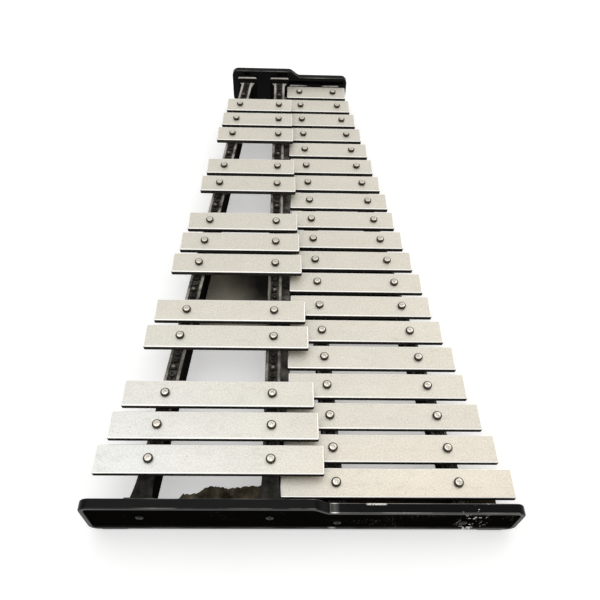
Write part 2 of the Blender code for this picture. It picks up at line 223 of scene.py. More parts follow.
def slab(name, outlines, thickness, edge, steps=2):
    """Plate in XY, centred on its plane, with rounded edges; later outlines are holes."""
    curve = bpy.data.curves.new(name, "CURVE")
    curve.dimensions = "2D"
    curve.fill_mode = "BOTH"
    curve.extrude = thickness / 2 - edge
    curve.bevel_depth = edge
    curve.bevel_resolution = steps
    curve.offset = -edge
    for outline in outlines:
        spline = curve.splines.new("POLY")
        spline.points.add(len(outline) - 1)
        for point, (x, y) in zip(spline.points, outline):
            point.co = (x, y, 0, 1)
        spline.use_cyclic_u = True
    holder = bpy.data.objects.new(name, curve)
    bpy.context.scene.collection.objects.link(holder)
    bpy.context.view_layer.update()
    evaluated = holder.evaluated_get(bpy.context.evaluated_depsgraph_get())
    mesh = bpy.data.meshes.new_from_object(evaluated)
    mesh.name = name
    bpy.data.objects.remove(holder, do_unlink=True)
    bpy.data.curves.remove(curve)
    mesh.materials.clear()
    return tidy_mesh(mesh)


def loft(name, rings, bands=None, last_cap=0):
    """Closed skin through rings with equal point counts; bands give each band's material."""
    mesh = bpy.data.meshes.new(name)
    bm = bmesh.new()
    rows = [[bm.verts.new(point) for point in ring] for ring in rings]
    count = len(rings[0])
    for index, (near, far) in enumerate(zip(rows, rows[1:])):
        for i in range(count):
            j = (i + 1) % count
            face = bm.faces.new((near[i], near[j], far[j], far[i]))
            face.material_index = bands[index] if bands else 0
    bm.faces.new(rows[0][::-1])
    bm.faces.new(rows[-1]).material_index = last_cap
    bmesh.ops.recalc_face_normals(bm, faces=bm.faces)
    bm.to_mesh(mesh)
    bm.free()
    return mesh


def joined(name, meshes):
    """One mesh from several closed ones; each may carry its own material numbers."""
    mesh = bpy.data.meshes.new(name)
    bm = bmesh.new()
    for part in meshes:
        bm.from_mesh(part)
        bpy.data.meshes.remove(part)
    bm.to_mesh(mesh)
    bm.free()
    return mesh


def moved(mesh, matrix):
    mesh.transform(matrix)
    if matrix.determinant() < 0:
        mesh.flip_normals()
    return mesh


def circle(radius, sides, centre=(0.0, 0.0)):
    turn = 2 * math.pi / sides
    return [
        (centre[0] + radius * math.cos(turn * i), centre[1] + radius * math.sin(turn * i))
        for i in range(sides)
    ]


def quarter_turn(steps):
    """Sine and cosine at even steps over a quarter turn."""
    angles = [math.pi / 2 * i / steps for i in range(steps + 1)]
    return [(math.sin(angle), math.cos(angle)) for angle in angles]


def revolved(name, profile, sides):
    """Solid of revolution about Z through (radius, z) points, from its lowest end."""
    rings = [[(x, y, z) for x, y in circle(radius, sides)] for radius, z in profile]
    return loft(name, rings)


def rounded(points, radius, steps=4):
    """Polygon with its corners rounded; radius is one number or one for each corner."""
    result = []
    count = len(points)
    for i in range(count):
        here = Vector(points[i])
        r = radius[i] if isinstance(radius, (list, tuple)) else radius
        before = Vector(points[i - 1]) - here
        after = Vector(points[(i + 1) % count]) - here
        angle = before.angle(after)
        reach = min(r / math.tan(angle / 2), before.length * 0.49, after.length * 0.49)
        r = reach * math.tan(angle / 2)
        start = here + before.normalized() * reach
        end = here + after.normalized() * reach
        inward = (before.normalized() + after.normalized()).normalized()
        middle = here + inward * (r / math.sin(angle / 2))
        a = start - middle
        b = end - middle
        sweep = a.angle(b)
        side = 1 if a.x * b.y - a.y * b.x > 0 else -1
        for step in range(steps + 1):
            turn = side * sweep * step / steps
            x = a.x * math.cos(turn) - a.y * math.sin(turn)
            y = a.x * math.sin(turn) + a.y * math.cos(turn)
            result.append((middle.x + x, middle.y + y))
    return result


def rectangle(width, height):
    w, h = width / 2, height / 2
    return [(-w, -h), (w, -h), (w, h), (-w, h)]


def cut(mesh, cutter):
    """Mesh less the cutter, by an exact boolean."""
    holder = bpy.data.objects.new(mesh.name, mesh)
    other = bpy.data.objects.new(cutter.name, cutter)
    for obj in (holder, other):
        bpy.context.scene.collection.objects.link(obj)
    modifier = holder.modifiers.new("cut", "BOOLEAN")
    modifier.operation = "DIFFERENCE"
    modifier.solver = "EXACT"
    modifier.object = other
    bpy.context.view_layer.update()
    evaluated = holder.evaluated_get(bpy.context.evaluated_depsgraph_get())
    result = bpy.data.meshes.new_from_object(evaluated)
    result.name = mesh.name
    for obj in (other, holder):
        bpy.data.objects.remove(obj, do_unlink=True)
    return result


def add_piece(name, mesh, body, materials, stands_for=(), matrix=None):
    obj = bpy.data.objects.new(name, mesh)
    bpy.context.scene.collection.objects.link(obj)
    if matrix is not None:
        obj.matrix_world = matrix
    if not mesh.materials:
        for material in materials:
            mesh.materials.append(material)
    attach(obj, body)
    if stands_for:
        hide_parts(*stands_for)


# ---------------------------------------------------------------- materials


class Look:
    """A Principled material with short calls for its nodes."""

    def __init__(self, name, **sockets):
        self.material = bpy.data.materials.new(name)
        self.material.use_nodes = True
        self.tree = self.material.node_tree
        self.shader = self.tree.nodes["Principled BSDF"]
        for key, value in sockets.items():
            socket = self.shader.inputs[key.replace("_", " ").title().replace("Ior", "IOR")]
            socket.default_value = value
        self.coordinates = self.tree.nodes.new("ShaderNodeTexCoord")
        self.object = self.coordinates.outputs["Object"]
        self.normal = self.coordinates.outputs["Normal"]

    def put(self, socket, value):
        if isinstance(value, bpy.types.NodeSocket):
            self.tree.links.new(value, socket)
        elif isinstance(value, tuple) and len(value) == 3 and socket.type == "RGBA":
            socket.default_value = (*value, 1.0)
        else:
            socket.default_value = value

    def stretch(self, scale):
        node = self.tree.nodes.new("ShaderNodeMapping")
        self.put(node.inputs["Vector"], self.object)
        node.inputs["Scale"].default_value = scale
        return node.outputs["Vector"]

    def noise(self, scale, detail=2.0, roughness=0.5, vector=None):
        node = self.tree.nodes.new("ShaderNodeTexNoise")
        self.put(node.inputs["Vector"], vector or self.object)
        node.inputs["Scale"].default_value = scale
        node.inputs["Detail"].default_value = detail
        node.inputs["Roughness"].default_value = roughness
        return node.outputs["Fac"]

    def spots(self, scale):
        node = self.tree.nodes.new("ShaderNodeTexVoronoi")
        self.put(node.inputs["Vector"], self.object)
        node.inputs["Scale"].default_value = scale
        return node.outputs["Distance"]

    def chance(self, value):
        """A random number from 0 to 1 for each different value."""
        node = self.tree.nodes.new("ShaderNodeTexWhiteNoise")
        node.noise_dimensions = "1D"
        self.put(node.inputs["W"], value)
        return node.outputs["Value"]

    def span(self, value, low, high, to_low=0.0, to_high=1.0):
        """Value from the range low..high put into to_low..to_high, and held there."""
        node = self.tree.nodes.new("ShaderNodeMapRange")
        self.put(node.inputs["Value"], value)
        numbers = {"From Min": low, "From Max": high, "To Min": to_low, "To Max": to_high}
        for key, number in numbers.items():
            node.inputs[key].default_value = number
        return node.outputs["Result"]

    def maths(self, operation, a, b=0.0, clamp=False):
        node = self.tree.nodes.new("ShaderNodeMath")
        node.operation = operation
        node.use_clamp = clamp
        self.put(node.inputs[0], a)
        self.put(node.inputs[1], b)
        return node.outputs[0]

    def plus(self, first, *others):
        for other in others:
            first = self.maths("ADD", first, other)
        return first

    def times(self, first, *others):
        for other in others:
            first = self.maths("MULTIPLY", first, other)
        return first

    def axis(self, name, vector=None):
        node = self.tree.nodes.new("ShaderNodeSeparateXYZ")
        self.put(node.inputs[0], vector or self.object)
        return node.outputs[name]

    def along(self, name, low, high, to_low=0.0, to_high=1.0):
        """Span of a point's place on one axis."""
        return self.span(self.axis(name), low, high, to_low, to_high)

    def away(self, name, place):
        """Distance from a place on one axis."""
        return self.maths("ABSOLUTE", self.maths("SUBTRACT", self.axis(name), place))

    def blend(self, share, a, b, mode="MIX"):
        node = self.tree.nodes.new("ShaderNodeMix")
        node.data_type = "RGBA"
        node.blend_type = mode
        self.put(node.inputs[0], share)
        self.put(node.inputs[6], a)
        self.put(node.inputs[7], b)
        return node.outputs[2]

    def grey(self, value):
        node = self.tree.nodes.new("ShaderNodeCombineColor")
        for socket in node.inputs:
            self.put(socket, value)
        return node.outputs[0]

    def colour(self, value):
        self.put(self.shader.inputs["Base Color"], value)

    def rough(self, value):
        self.put(self.shader.inputs["Roughness"], value)

    def bump(self, height, distance, strength=1.0, after=None):
        node = self.tree.nodes.new("ShaderNodeBump")
        node.inputs["Strength"].default_value = strength
        node.inputs["Distance"].default_value = distance
        self.put(node.inputs["Height"], height)
        if after is not None:
            self.put(node.inputs["Normal"], after)
        self.put(self.shader.inputs["Normal"], node.outputs[0])
        return node.outputs[0]

    def upward(self, low=0.35, high=0.9):
        """1 on faces that look up, 0 on walls and undersides."""
        return self.span(self.axis("Z", self.normal), low, high)


def bar_material():
    """Satin aluminium with dark walls, a painted highlight on its rounded edges and a painted warm
    and cool light cast that varies by place.
    """
    look = Look("satin_aluminium", specular_ior_level=0.0)
    speckle = look.noise(620.0, 3.0, 0.75)
    cloud = look.noise(34.0, 3.0, 0.55)
    smudge = look.noise(95.0, 4.0, 0.6, look.stretch((1.0, 2.2, 1.0)))
    place = look.maths("FLOOR", look.maths("DIVIDE", look.axis("Y"), BAR_PITCH / 2))
    tone = look.span(look.chance(place), 0.0, 1.0, -0.012, 0.012)
    grain = look.span(speckle, 0.3, 0.7, -0.16, 0.16)
    mottle = look.span(cloud, 0.3, 0.7, -0.02, 0.02)
    # Painted light: the bars are tinted warm towards the low right and pale cool towards the low
    # left, as the lamps' colour cast.
    painted_warm_light = look.times(look.along("X", -0.05, 0.1), look.along("Y", -0.24, -0.31))
    metal = look.blend(painted_warm_light, (0.735, 0.705, 0.625), (0.84, 0.775, 0.67))
    painted_cool_light = look.times(look.along("X", 0.02, -0.16), look.along("Y", -0.12, -0.28))
    metal = look.blend(painted_cool_light, metal, (0.8, 0.8, 0.78))
    base = look.blend(1.0, metal, look.grey(look.plus(1.0, tone, grain, mottle)), "MULTIPLY")
    pits = look.span(look.spots(150.0), 0.05, 0.11, 1.0, 0.0)
    rare = look.span(look.noise(41.0, 1.0), 0.56, 0.6)
    base = look.blend(look.times(pits, rare, 0.55), base, (0.26, 0.24, 0.21))
    film = look.span(smudge, 0.52, 0.74, 0.0, 0.2)
    base = look.blend(film, base, (0.6, 0.555, 0.47))
    # Painted highlight: the rounded top edges are made near white by the edge mask, besides their
    # lower roughness.
    slope = look.maths("ABSOLUTE", look.axis("Z", look.normal))
    edge = look.span(slope, 0.968, 0.998, 1.0, 0.0)
    base = look.blend(edge, base, (0.985, 0.975, 0.94))
    wall = look.span(slope, 0.5, 0.32)
    base = look.blend(wall, base, look.blend(smudge, (0.012, 0.011, 0.009), (0.05, 0.046, 0.038)))
    look.colour(base)
    look.put(look.shader.inputs["Metallic"], look.span(wall, 0.0, 1.0, 0.9, 0.0))
    roughness = look.plus(look.span(speckle, 0.3, 0.7, 0.48, 0.6), look.times(film, 0.4))
    look.rough(look.maths("SUBTRACT", roughness, look.times(edge, 0.2)))
    fine = look.bump(speckle, 0.00003, 0.6)
    scratch = look.noise(300.0, 2.0, 0.5, look.stretch((0.3, 1.0, 1.0)))
    look.bump(look.span(scratch, 0.7, 0.74), 0.00001, 0.2, fine)
    return look.material


def steel_material(name, radius, bright):
    """Worn screw steel, dark in a ring towards the rim of its head: painted shade and painted
    reflection of dark surroundings.
    """
    look = Look(name, metallic=1.0)
    wear = look.noise(900.0, 3.0, 0.6)
    x, y = look.axis("X"), look.axis("Y")
    out = look.maths("SQRT", look.plus(look.times(x, x), look.times(y, y)))
    # Painted shade and reflection: beyond the bright middle the head turns near black towards its
    # rim.
    ring = look.span(out, radius * 0.63, radius * 0.77)
    base = look.blend(ring, bright, (0.045, 0.036, 0.026))
    base = look.blend(look.span(wear, 0.5, 0.72, 0.0, 0.4), base, (0.24, 0.21, 0.16))
    look.colour(base)
    look.rough(look.span(wear, 0.3, 0.7, 0.2, 0.36))
    look.bump(wear, 0.00004, 0.5)
    return look.material


def dusty_plastic(name, dark, dust, amount, roughness, scale, film_span):
    """Black plastic with a settled dust film on faces that look up, which on the rails also serves as
    painted sheen, and a painted highlight near the high end; the last argument is a span along an
    axis that scales the film.
    """
    look = Look(name, specular_ior_level=0.0)
    broad = look.noise(55.0 * scale, 4.0, 0.62)
    fine = look.noise(520.0 * scale, 3.0, 0.6)
    streak = look.noise(160.0, 3.0, 0.6, look.stretch((1.0, 0.12, 1.0)))
    # On the rails this dust film also stands in for their gloss: painted sheen on the tops.
    film = look.times(look.span(broad, 0.32, 0.68), look.span(fine, 0.25, 0.75, 0.45, 1.0))
    film = look.times(film, look.span(streak, 0.3, 0.65, 0.5, 1.0), look.upward())
    film = look.times(film, amount, look.along(*film_span))
    outer = look.times(look.along("X", -0.045, -0.075), look.along("Y", -0.22, -0.12), 0.7)
    more = look.plus(look.along("Y", -0.15, 0.2, 1.0, 1.6), outer)
    film = look.maths("MULTIPLY", film, more, clamp=True)
    # Painted highlight on up-facing faces at the high end, on the accidental side: flange and gusset
    # tops.
    far = look.times(look.along("Y", 0.285, 0.305, 0.0, 0.75), look.along("X", -0.008, -0.013))
    far = look.times(far, look.span(fine, 0.2, 0.6, 0.5, 1.0), look.upward())
    look.colour(look.blend(far, look.blend(film, dark, dust), (0.62, 0.6, 0.55)))
    look.rough(look.span(film, 0.0, 0.8, roughness, min(1.0, roughness + 0.3)))
    look.bump(fine, 0.00006, 0.5)
    return look.material


def paint_patch(look):
    """Where white paint was splashed on the low end panel, near the natural outer rail."""
    return look.times(look.span(look.away("X", SPLASH_X), 0.016, 0.004), look.along("Y", 0.0, -0.1))


def gloss_material():
    """Gloss black with a painted highlight along its bevel, and a painted glint, a streak and paint
    on the low end panel.
    """
    look = Look("gloss_black_plastic", specular_ior_level=0.1)
    fine = look.noise(700.0, 3.0, 0.6)
    broad = look.noise(28.0, 3.0, 0.55)
    dust = look.times(look.span(fine, 0.62, 0.74), look.span(broad, 0.5, 0.7, 0.0, 0.16))
    dust = look.times(dust, look.upward(0.2, 0.9))
    base = look.blend(dust, (0.0015, 0.0015, 0.0018), (0.24, 0.23, 0.21))
    # Painted highlight: the rounded top bevel is made lighter grey, varying along the panel.
    rise = look.axis("Z", look.normal)
    bevel = look.times(look.span(rise, 0.2, 0.45), look.span(rise, 0.97, 0.85))
    flat = look.span(look.maths("ABSOLUTE", look.axis("X", look.normal)), 0.25, 0.08)
    highlight_variation = look.noise(16.0, 3.0, 0.6, look.stretch((1.0, 0.2, 0.2)))
    painted_bevel_highlight = look.times(look.span(highlight_variation, 0.42, 0.66, 0.05, 0.6), look.span(fine, 0.25, 0.6, 0.6, 1.0))
    base = look.blend(look.times(bevel, flat, painted_bevel_highlight), base, (0.42, 0.41, 0.38))
    # Painted glint at the foot of the step on the low end panel: lighter on the top and near white on
    # the bevel.
    near = look.along("Y", -0.3, -0.31)
    glint = look.times(look.span(look.away("X", STEP_FOOT_X), 0.0045, 0.0005), near)
    base = look.blend(look.times(glint, look.upward(0.9, 0.98)), base, (0.085, 0.085, 0.08))
    base = look.blend(look.times(glint, bevel), base, (0.95, 0.94, 0.9))
    streak = look.span(look.away("X", STREAK_X), 0.0095, 0.007)
    streak = look.times(streak, look.along("Y", -0.3243, -0.3236), near, look.span(fine, 0.3, 0.5))
    base = look.blend(look.times(streak, look.span(rise, 0.3, 0.6)), base, (0.8, 0.78, 0.74))
    marks = look.times(look.span(look.noise(210.0, 2.0, 0.7), 0.62, 0.66), paint_patch(look))
    look.colour(look.blend(marks, base, (0.75, 0.72, 0.66)))
    look.rough(look.span(broad, 0.3, 0.7, 0.12, 0.22))
    look.bump(look.noise(60.0, 2.0), 0.0001, 0.2)
    return look.material


def panel_face_material():
    """Dull black of the recessed panel faces, with more white specks towards the right end."""
    look = Look("panel_face_black", specular_ior_level=0.0, roughness=0.6)
    fine = look.noise(620.0, 3.0, 0.65)
    broad = look.noise(30.0, 4.0, 0.6)
    specks = look.times(look.span(fine, 0.62, 0.7), look.span(broad, 0.52, 0.6))
    specks = look.times(specks, look.along("X", 0.0, 0.17, 0.12, 1.0))
    splash = look.times(look.span(look.noise(260.0, 2.0, 0.7), 0.62, 0.66), paint_patch(look))
    marks = look.maths("MAXIMUM", specks, splash)
    look.colour(look.blend(marks, (0.0022, 0.0021, 0.0016), (0.62, 0.59, 0.54)))
    look.bump(fine, 0.00005, 0.4)
    return look.material


def plate_material():
    """Glossy plate, lighter and duller in its near left part."""
    look = Look("plate_plastic", specular_ior_level=0.12)
    broad = look.noise(13.0, 3.0, 0.5)
    fine = look.noise(600.0, 3.0, 0.6)
    reach = look.plus(look.axis("X"), look.times(look.axis("Y"), 0.9))
    reach = look.plus(reach, look.span(broad, 0.3, 0.7, -0.02, 0.02))
    film = look.times(look.span(reach, -0.1, -0.15), look.span(fine, 0.2, 0.7, 0.7, 1.0))
    shown = look.times(film, look.upward())
    look.colour(look.blend(shown, (0.028, 0.027, 0.023), (0.34, 0.31, 0.25)))
    look.rough(look.span(film, 0.0, 1.0, 0.22, 0.5))
    look.bump(look.noise(40.0, 2.0), 0.0002, 0.2)
    return look.material


def rubber_material(name, dark, dust, amount):
    look = Look(name, specular_ior_level=0.06)
    fine = look.noise(650.0, 3.0, 0.6)
    broad = look.noise(110.0, 3.0, 0.6)
    film = look.times(look.span(fine, 0.4, 0.75), look.span(broad, 0.35, 0.65), look.upward())
    film = look.maths("MULTIPLY", film, amount, clamp=True)
    look.colour(look.blend(film, dark, dust))
    look.rough(look.span(fine, 0.2, 0.8, 0.6, 0.85))
    look.bump(fine, 0.00008, 0.6)
    return look.material


def painted_screw_material():
    """Black paint with a few chips down to the steel."""
    look = Look("black_painted_steel", specular_ior_level=0.12)
    wear = look.noise(1100.0, 3.0, 0.6)
    chips = look.span(wear, 0.66, 0.72)
    look.colour(look.blend(chips, (0.012, 0.012, 0.012), (0.3, 0.29, 0.27)))
    look.rough(look.span(wear, 0.3, 0.7, 0.3, 0.45))
    look.bump(wear, 0.00004, 0.4)
    return look.material


def floor_material():
    """White floor with a weak glow of its own."""
    look = Look("studio_floor", specular_ior_level=0.0, roughness=1.0)
    grain = look.noise(9.0, 3.0, 0.5)
    look.colour(look.blend(look.span(grain, 0.3, 0.7), (0.76, 0.76, 0.76), (0.78, 0.78, 0.78)))
    look.shader.inputs["Emission Color"].default_value = (1.0, 1.0, 1.0, 1.0)
    look.shader.inputs["Emission Strength"].default_value = 0.38
    return look.material


# ---------------------------------------------------------------- pieces


def build_bars(material):
    for name in BAR_NAMES:
        centre, size = place_of(name)
        outlines = [rounded(rectangle(size.x, size.y), BAR_CORNER, 3)]
        for rail in RAIL_NAMES:
            if name in ROWS[rail][0]:
                hole = (RAIL_LINES[rail](centre.y) - centre.x, 0.0)
                outlines.append(circle(BAR_HOLE_RADIUS, 40, hole))
        mesh = slab(name, outlines, size.z, BAR_EDGE)
        moved(mesh, Matrix.Translation(centre))
        add_piece(f"tone_{name}", shade(mesh), name, [material], [name])


def cross_recess(name, arm, width, top, depth):
    """Cutter for a cross recess that narrows towards its floor."""
    rings = []
    for z, share in ((top + depth * 0.3, 1.12), (top, 1.0), (top - depth, 0.45)):
        a = arm * share
        w = width * (0.5 + 0.5 * share)
        plus = [(w, w), (w, a), (-w, a), (-w, w), (-a, w), (-a, -w),
                (-w, -w), (-w, -a), (w, -a), (w, -w), (a, -w), (a, w)]
        rings.append([(x, y, z) for x, y in plus])
    return loft(name, rings)


def screw_mesh(name, radius, height, shank, depth, recess):
    """Pan-head screw on Z, with the head's seat at z = 0 and its dome as part of an ellipse."""
    profile = [(shank * 0.6, -depth), (shank, -depth + shank), (shank, 0.0), (radius * 0.93, 0.0),
               (radius, height * 0.12), (radius, height * 0.34)]
    for angle in (18, 36, 52, 66, 78):
        turn = math.radians(angle)
        out = radius * (0.22 + 0.78 * math.cos(turn))
        profile.append((out, height * (0.34 + 0.66 * math.sin(turn))))
    profile.append((radius * 0.12, height))
    body = revolved(name, profile, 32)
    arm, width, recess_depth = recess
    return cut(body, cross_recess(f"{name}_recess", arm, width, height, recess_depth))


def build_bar_screws(steel):
    mesh = screw_mesh("bar_screw", BAR_SCREW_RADIUS, BAR_SCREW_HEIGHT, BAR_SCREW_SHANK,
                      BAR_SCREW_DEPTH, BAR_SCREW_RECESS)
    shade(mesh, 28)
    for rail in RAIL_NAMES:
        row, top, _ = ROWS[rail]
        for name in row:
            y = place_of(name)[0].y
            turn = Matrix.Rotation(RANDOM.uniform(0, math.pi), 4, "Z")
            lean = Matrix.Rotation(RANDOM.uniform(-BAR_SCREW_LEAN, BAR_SCREW_LEAN), 4, "X")
            place = Matrix.Translation((RAIL_LINES[rail](y), y, top + SLEEVE_STAND)) @ lean @ turn
            side = "left" if rail in ("accidental_outer", "natural_inner") else "right"
            add_piece(f"screw_{name[4:]}_{side}", mesh, "frame", [steel], matrix=place)


def strip_places(rail, low, high):
    """Each nub's y along a strip, at even steps of the bar pitch, and the missing bars' places."""
    bars = [place_of(name)[0].y for name in ROWS[rail][0]]

    def clear(y, reach):
        return min(abs(y - bar) for bar in bars) > reach

    step = BAR_PITCH / NUBS_PER_PITCH
    first = math.ceil((low + NUB_END_GAP - bars[0]) / step)
    last = math.floor((high - NUB_END_GAP - bars[0]) / step)
    nubs = [bars[0] + index * step for index in range(first, last + 1)]
    nubs = [y for y in nubs if clear(y, step * 0.5)]
    studs = []
    if rail.startswith("accidental"):
        places = range(-1, len(NATURAL_PLACES) + 1)
        studs = [NATURAL_PLACES[0] + (index + 0.5) * BAR_PITCH for index in places]
        studs = [y for y in studs if low + STUD_END_GAP < y < high - STUD_END_GAP]
        studs = [y for y in studs if clear(y, BAR_PITCH / 2)]
    return nubs, bars, studs


def nub_mesh(rise):
    """Ribbed rest between the bars: a short tube with a rounded lip."""
    r = NUB_RADIUS
    profile = [(r, -ROOT_DEPTH), (r, 0.0), (r * 0.96, rise * 0.5), (r * 0.86, rise * 0.88),
               (r * 0.7, rise), (r * 0.52, rise * 0.9), (r * 0.42, rise * 0.55)]
    return revolved("nub", profile, 20)


def sleeve_mesh(rise, height):
    """Sleeve round a bar screw, with the collar that the bar rests on."""
    r = SLEEVE_RADIUS
    profile = [(r * 1.5, -ROOT_DEPTH), (r * 1.5, rise * 0.9), (r * 1.1, rise), (r, rise * 1.02),
               (r, height - 0.0002), (r * 0.94, height)]
    return revolved("sleeve", profile, 24)


def build_strips(rubber, steel):
    stud = shade(revolved("row_stud", STUD_PROFILE, 24), 40)
    for rail in RAIL_NAMES:
        _, top, bottom = ROWS[rail]
        line = RAIL_LINES[rail]
        strip_top = bottom - FIT_GAP
        rail_top = strip_top - STRIP_STAND
        low = extreme_points(f"{rail}_strip", -1)[0].y
        high = extreme_points(f"{rail}_strip", 1)[0].y
        nubs, bars, studs = strip_places(rail, low, high)
        if rail.startswith("accidental"):
            low += END_BLOCK_LENGTH - FLANGE_THICKNESS
            nubs = [y for y in nubs if y > low + NUB_RADIUS]
            studs = [y for y in studs if y > low + NUB_RADIUS]
        base = rail_top - RAIL_GROOVE_DEPTH + FIT_GAP
        ribbon_top = rail_top + RIBBON_ABOVE_RAIL
        thickness = ribbon_top - base
        section = rounded(rectangle(2 * STRIP_HALF_WIDTH, thickness), RIBBON_EDGE, 3)
        middle = base + thickness / 2
        rings = [[(line(y) + x, y, middle + z) for x, z in section] for y in (low, high)]
        meshes = [loft("ribbon", rings)]
        rise = strip_top - ribbon_top
        for y in nubs:
            place = Matrix.Translation((line(y), y, ribbon_top))
            meshes.append(moved(nub_mesh(rise), place))
        for y in bars:
            place = Matrix.Translation((line(y), y, ribbon_top))
            meshes.append(moved(sleeve_mesh(rise, top + SLEEVE_STAND - ribbon_top), place))
        mesh = shade(joined(f"{rail}_rest", meshes), 40)
        add_piece(f"{rail}_rest_strip", mesh, "frame", [rubber], [f"{rail}_strip"])
        for index, y in enumerate(studs):
            place = Matrix.Translation((line(y), y, strip_top - STUD_SINK))
            add_piece(f"{rail}_stud_{index}", stud, "frame", [steel], matrix=place)


def rail_section(depth):
    """Channel section, open underneath, with a groove for the strip in its top."""
    h, g = RAIL_HALF_WIDTH, RAIL_GROOVE_HALF
    c = h - RAIL_WALL
    points = [
        (-h, -depth), (-c, -depth), (-c, -RAIL_ROOF), (c, -RAIL_ROOF), (c, -depth), (h, -depth),
        (h, 0.0), (g, 0.0), (g, -RAIL_GROOVE_DEPTH), (-g, -RAIL_GROOVE_DEPTH), (-g, 0.0), (-h, 0.0),
    ]
    e = RAIL_EDGE
    radii = [e / 2, e / 2, e, e, e / 2, e / 2, e, e * 0.7, 0.0004, 0.0004, e * 0.7, e]
    return rounded(points, radii, 3)


def gusset(side, half_flange):
    """Concave corner rib in plan: from the rail's side to the flange, at x > 0 for side 1."""
    start = RAIL_HALF_WIDTH - GUSSET_SINK
    wide = half_flange - GUSSET_FLANGE_MARGIN
    points = [(start, 0.0), (start, -GUSSET_REACH)]
    for s, c in quarter_turn(8):
        x = RAIL_HALF_WIDTH + (wide - RAIL_HALF_WIDTH) * (1 - c)
        points.append((x, -GUSSET_REACH * (1 - s)))
    points = [(side * x, y) for x, y in points]
    return points if side > 0 else points[::-1]


def rail_end(points, sign, depth, top):
    """Flange plate at one end of a rail, with a gusset on each side."""
    xs = [p.x for p in points]
    zs = [p.z for p in points]
    width, height = max(xs) - min(xs), max(zs) - min(zs)
    centre = (max(xs) + min(xs)) / 2
    face = points[0].y
    plate = slab("flange", [rounded(rectangle(width, height), FLANGE_CORNER, 4)],
                 FLANGE_THICKNESS, FLANGE_EDGE)
    upright = Matrix.Rotation(math.pi / 2, 4, "X")
    middle = (centre, face - sign * FLANGE_THICKNESS / 2, (max(zs) + min(zs)) / 2)
    meshes = [moved(plate, Matrix.Translation(middle) @ upright)]
    rib_height = depth - GUSSET_SHORTER_THAN_RAIL
    root = face - sign * FLANGE_THICKNESS * 0.9
    place = Matrix.Translation((centre, root, top - GUSSET_BELOW_RAIL_TOP - rib_height / 2))
    flip = Matrix.Diagonal((1.0, sign, 1.0, 1.0))
    for side in (-1, 1):
        rib = slab("gusset", [gusset(side, width / 2)], rib_height, GUSSET_EDGE, 1)
        meshes.append(moved(rib, place @ flip))
    return meshes


def end_block(line, low, top):
    """Plain flared block that closes the low end of an accidental rail, over its groove."""
    half, wide = RAIL_HALF_WIDTH, END_BLOCK_WIDTH / 2
    length = END_BLOCK_LENGTH - END_BLOCK_FRONT_GAP
    steps = 8
    right = []
    for step in range(steps + 1):
        share = step / steps
        x = half + (wide - half) * (1 - share) ** 2
        right.append((x, low + END_BLOCK_FRONT_GAP + length * share))
    left = [(-x, y) for x, y in right[::-1]]
    outline = [(line(y) + x, y) for x, y in right + left]
    mesh = slab("end_block", [outline], END_BLOCK_HEIGHT, END_BLOCK_EDGE)
    middle = top + END_BLOCK_ABOVE_RAIL - END_BLOCK_HEIGHT / 2
    return moved(mesh, Matrix.Translation((0, 0, middle)))


def ledge(line, low, high, top):
    """Flat ledge on the natural side of the accidental inner rail."""
    start, end = low + LEDGE_END_GAP, high - LEDGE_END_GAP
    near, far = RAIL_HALF_WIDTH - LEDGE_SINK, RAIL_HALF_WIDTH + LEDGE_REACH
    corners = ((near, start), (far, start), (far, end), (near, end))
    outline = rounded([(line(y) + x, y) for x, y in corners], LEDGE_CORNER, 3)
    mesh = slab("ledge", [outline], LEDGE_THICKNESS, LEDGE_EDGE)
    middle = top - LEDGE_BELOW_RAIL_TOP - LEDGE_THICKNESS / 2
    return moved(mesh, Matrix.Translation((0, 0, middle)))


def build_rails(plastic):
    for rail in RAIL_NAMES:
        line = RAIL_LINES[rail]
        top = ROWS[rail][2] - FIT_GAP - STRIP_STAND
        depth = top - RAIL_BOTTOM
        ends = [extreme_points(f"{rail}_rail", sign) for sign in (-1, 1)]
        low, high = ends[0][0].y, ends[1][0].y
        section = rail_section(depth)
        start = low + FLANGE_THICKNESS * 0.5
        length = high - low - FLANGE_THICKNESS
        steps = 24
        stations = [start + length * i / steps for i in range(steps + 1)]
        rings = [[(line(y) + x, y, top + z) for x, z in section] for y in stations]
        meshes = [loft("channel", rings)]
        for sign, points in zip((-1, 1), ends):
            meshes += rail_end(points, sign, depth, top)
        if rail.startswith("accidental"):
            meshes.append(end_block(line, low, top))
        if rail == "accidental_inner":
            meshes.append(ledge(line, low, high, top))
        mesh = shade(joined(f"{rail}_channel", meshes))
        add_piece(f"{rail}_channel", mesh, "frame", [plastic], [f"{rail}_rail"])


def panel_measures(node):
    """Box of a panel, the height of its low part and the ends of its step, from its CAD mesh."""
    low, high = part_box(node)
    points = [v.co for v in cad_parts[node].data.vertices]
    low_top = max(p.z for p in points if p.x > high.x - PANEL_LOW_PART)
    step = [p.x for p in points
            if low_top + STEP_MARGIN < p.z < high.z - STEP_MARGIN and p.x > low.x + PANEL_LEFT_PART]
    return low, high, low_top, min(step), max(step)


def panel_ring(measures, inset, y):
    """Outline of a panel at an inset, as points in the plane y."""
    low, high, low_top, slope_start, slope_end = measures
    middle = (slope_start + slope_end) / 2
    half = PANEL_STEP_HALF
    radius = max(PANEL_CORNER - inset, 0.002)
    left, right = low.x + inset, high.x - inset
    bottom, tall, short = low.z + inset, high.z - inset, low_top - inset
    corner = 10

    def turn(cx, cz, start):
        return [
            (cx + radius * math.cos(math.radians(start - 90 * i / corner)),
             cz + radius * math.sin(math.radians(start - 90 * i / corner)))
            for i in range(corner + 1)
        ]

    points = turn(left + radius, bottom + radius, 270)
    points += turn(left + radius, tall - radius, 180)
    steps = 20
    for step in range(steps + 1):
        share = step / steps
        height = short + (tall - short) * (1 + math.cos(math.pi * share)) / 2
        points.append((middle - half - inset * 0.45 + 2 * half * share, height))
    points += turn(right - radius, short - radius, 90)
    points += turn(right - radius, bottom + radius, 0)
    return [(x, y, z) for x, z in points]


